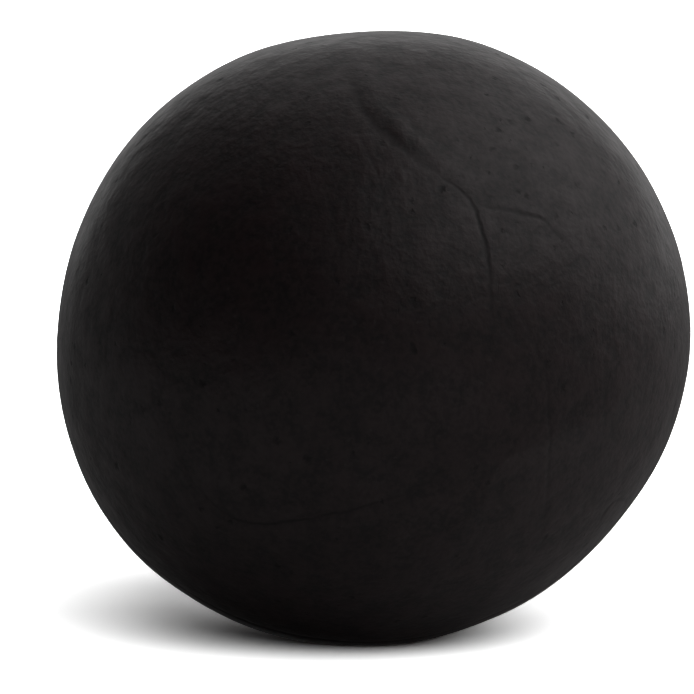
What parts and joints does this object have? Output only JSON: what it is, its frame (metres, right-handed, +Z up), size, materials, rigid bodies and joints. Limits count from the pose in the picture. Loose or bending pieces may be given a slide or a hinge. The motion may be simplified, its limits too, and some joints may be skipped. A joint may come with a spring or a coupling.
{
  "type": "watch case opening friction ball",
  "caption": "Hollow soft rubber ball, blown up through a needle valve, that is pressed on a screwed watch case back to grip and turn it.",
  "frame": {"origin": "middle of the patch that the ball rests on, at the bottom centre of its bounding box", "axes": "+Z up; -Y is the front, the side without the valve; +X is to the right seen from the front; the valve looks back along +Y and 20 degrees down"},
  "size_m": [0.0658, 0.065, 0.0633],
  "materials": {
    "shell_rubber": "soft matt, moulded, faintly creased",
    "valve_rubber": "smooth moulded"
  },
  "bodies": {
    "root": {"front_shell": "shell_rubber", "rear_shell": "shell_rubber", "valve_housing": "valve_rubber", "valve_core": "valve_rubber"}
  },
  "joints": []
}
